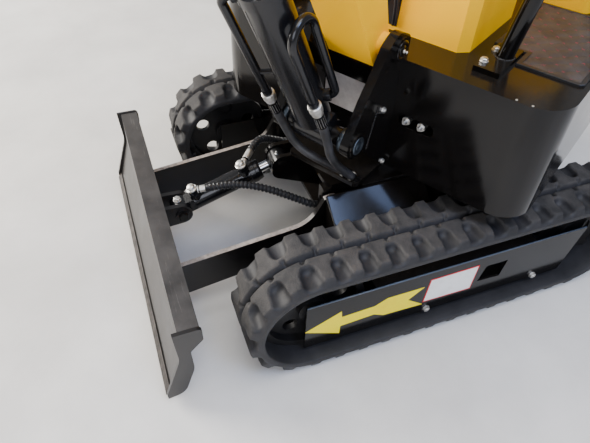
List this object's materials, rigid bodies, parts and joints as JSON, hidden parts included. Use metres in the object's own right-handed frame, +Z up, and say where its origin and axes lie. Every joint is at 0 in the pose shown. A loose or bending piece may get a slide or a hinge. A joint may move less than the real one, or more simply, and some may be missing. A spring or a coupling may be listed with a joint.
{
  "type": "mini excavator",
  "caption": "Small tracked excavator with a dozer blade, a slewing deck with an open seat under a canopy, and a boom, arm and bucket moved by hydraulic cylinders.",
  "frame": {"origin": "middle of the whole machine's box on the ground, with the upper structure slewed 31 degrees to its left and the boom raised", "axes": "+X to the undercarriage's left, -Y to its front where the blade is, +Z up"},
  "size_m": [1.7742, 2.386, 2.0746],
  "materials": {
    "black_paint": "gloss enamel",
    "cast_iron": "painted casting",
    "chrome": "ground and chromed",
    "hose_rubber": "wrapped rubber hose",
    "mat_rubber": "moulded rubber mat",
    "plastic": "moulded plastic",
    "seat_cover": "vinyl cover",
    "steel": "bare steel",
    "track_rubber": "moulded rubber",
    "yellow_paint": "gloss enamel",
    "zinc": "zinc plated"
  },
  "bodies": {
    "undercarriage": {"car_body": "black_paint", "track_frame_left": "black_paint", "track_frame_right": "black_paint", "track_left": "track_rubber", "track_right": "track_rubber", "idlers": "cast_iron", "sprockets": "cast_iron", "travel_motors": "black_paint", "track_rollers": "cast_iron", "slew_ring_base": "steel", "blade_hose_front": "hose_rubber", "blade_hose_rear": "hose_rubber"},
    "upper": {"slew_ring_top": "steel", "upper_frame": "black_paint", "boom_bracket": "black_paint", "console": "yellow_paint", "canopy_posts": "black_paint", "canopy_roof": "yellow_paint", "engine_hood": "yellow_paint", "engine": "cast_iron", "counterweight": "black_paint", "seat_cushion": "seat_cover", "seat_back": "seat_cover", "floor_mat": "mat_rubber", "control_levers": "plastic", "skirt_fittings": "zinc", "boom_hose_left": "hose_rubber", "boom_hose_right": "hose_rubber"},
    "blade": {"blade": "black_paint", "blade_arms": "black_paint", "cutting_edge": "steel"},
    "blade_barrel": {"blade_cylinder_barrel": "black_paint"},
    "blade_rod": {"blade_cylinder_rod": "chrome"},
    "boom": {"boom": "yellow_paint"},
    "boom_barrel": {"boom_cylinder_barrel": "black_paint"},
    "boom_rod": {"boom_cylinder_rod": "chrome"},
    "arm": {"arm": "yellow_paint"},
    "arm_barrel": {"arm_cylinder_barrel": "black_paint"},
    "arm_rod": {"arm_cylinder_rod": "chrome"},
    "bucket": {"bucket": "black_paint"},
    "rocker": {"rocker": "black_paint"},
    "bucket_link": {"bucket_link": "black_paint"},
    "bucket_barrel": {"bucket_cylinder_barrel": "black_paint"},
    "bucket_rod": {"bucket_cylinder_rod": "chrome"}
  },
  "joints": [
    {"name": "slew", "type": "hinge", "parent": "undercarriage", "child": "upper", "pos_m": [-0.124, 0.317, 0.4], "axis": [0, 0, 1], "continuous": true},
    {"name": "blade_lift", "type": "hinge", "parent": "undercarriage", "child": "blade", "pos_m": [-0.124, 0.035, 0.268], "axis": [-1, 0, 0], "range_deg": [-17, 15], "deforming": ["blade_hose_front", "blade_hose_rear"]},
    {"name": "blade_barrel_swing", "type": "hinge", "parent": "blade", "child": "blade_barrel", "pos_m": [-0.124, -0.347, 0.236], "axis": [-1, 0, 0], "range_deg": [-3.26, 2.93]},
    {"name": "blade_rod_slide", "type": "slide", "parent": "blade_barrel", "child": "blade_rod", "axis": [0, 0.9493, 0.3143], "range_m": [-0.02561, 0.02875]},
    {"name": "boom_lift", "type": "hinge", "parent": "upper", "child": "boom", "pos_m": [0.00476, 0.10271, 0.76], "axis": [-0.8572, -0.515, 0], "range_deg": [-68, 17]},
    {"name": "boom_barrel_swing", "type": "hinge", "parent": "upper", "child": "boom_barrel", "pos_m": [0.07635, -0.01644, 0.579], "axis": [-0.8572, -0.515, 0], "range_deg": [-68.73, 17.56], "deforming": ["boom_hose_left", "boom_hose_right"]},
    {"name": "boom_rod_slide", "type": "slide", "parent": "boom_barrel", "child": "boom_rod", "axis": [0.2338, -0.3891, 0.891], "range_m": [-0.26035, 0.06659]},
    {"name": "arm_swing", "type": "hinge", "parent": "boom", "child": "arm", "pos_m": [0.48195, -0.69146, 1.48109], "axis": [0.8572, 0.515, 0], "range_deg": [-53, 42]},
    {"name": "arm_barrel_swing", "type": "hinge", "parent": "boom", "child": "arm_barrel", "pos_m": [0.12741, -0.10142, 1.45343], "axis": [0.8572, 0.515, 0], "range_deg": [-1.4, 1.21]},
    {"name": "arm_rod_slide", "type": "slide", "parent": "arm_barrel", "child": "arm_rod", "axis": [0.5014, -0.8345, 0.2284], "range_m": [-0.11811, 0.09402]},
    {"name": "bucket_curl", "type": "hinge", "parent": "arm", "child": "bucket", "pos_m": [0.59821, -0.88496, 0.86089], "axis": [0.8572, 0.515, 0], "range_deg": [-35, 121]},
    {"name": "rocker_swing", "type": "hinge", "parent": "arm", "child": "rocker", "pos_m": [0.58292, -0.85951, 0.98631], "axis": [0.8572, 0.515, 0], "range_deg": [-23.57, 80.27]},
    {"name": "link_swing", "type": "hinge", "parent": "rocker", "child": "bucket_link", "pos_m": [0.63202, -0.94122, 1.06716], "axis": [0.8572, 0.515, 0], "range_deg": [-55.83, 16.51]},
    {"name": "bucket_barrel_swing", "type": "hinge", "parent": "arm", "child": "bucket_barrel", "pos_m": [0.54575, -0.79766, 1.46233], "axis": [0.8572, 0.515, 0], "range_deg": [-1.46, 3.81]},
    {"name": "bucket_rod_slide", "type": "slide", "parent": "bucket_barrel", "child": "bucket_rod", "axis": [0.201, -0.3345, -0.9207], "range_m": [-0.04856, 0.16297]}
  ],
  "couplings": [
    {"joint": "blade_barrel_swing", "follows": "blade_lift", "ratio": 0.16221},
    {"joint": "blade_rod_slide", "follows": "blade_lift", "m_per_rad": -0.090169},
    {"joint": "boom_barrel_swing", "follows": "boom_lift", "ratio": 1.0033},
    {"joint": "boom_rod_slide", "follows": "boom_lift", "m_per_rad": 0.21768},
    {"joint": "arm_barrel_swing", "follows": "arm_swing", "ratio": 0.016958},
    {"joint": "arm_rod_slide", "follows": "arm_swing", "m_per_rad": 0.12553},
    {"joint": "rocker_swing", "follows": "bucket_curl", "ratio": 0.65922},
    {"joint": "link_swing", "follows": "bucket_curl", "ratio": -0.4573},
    {"joint": "bucket_barrel_swing", "follows": "bucket_curl", "ratio": 0.027328},
    {"joint": "bucket_rod_slide", "follows": "bucket_curl", "m_per_rad": 0.076224}
  ]
}
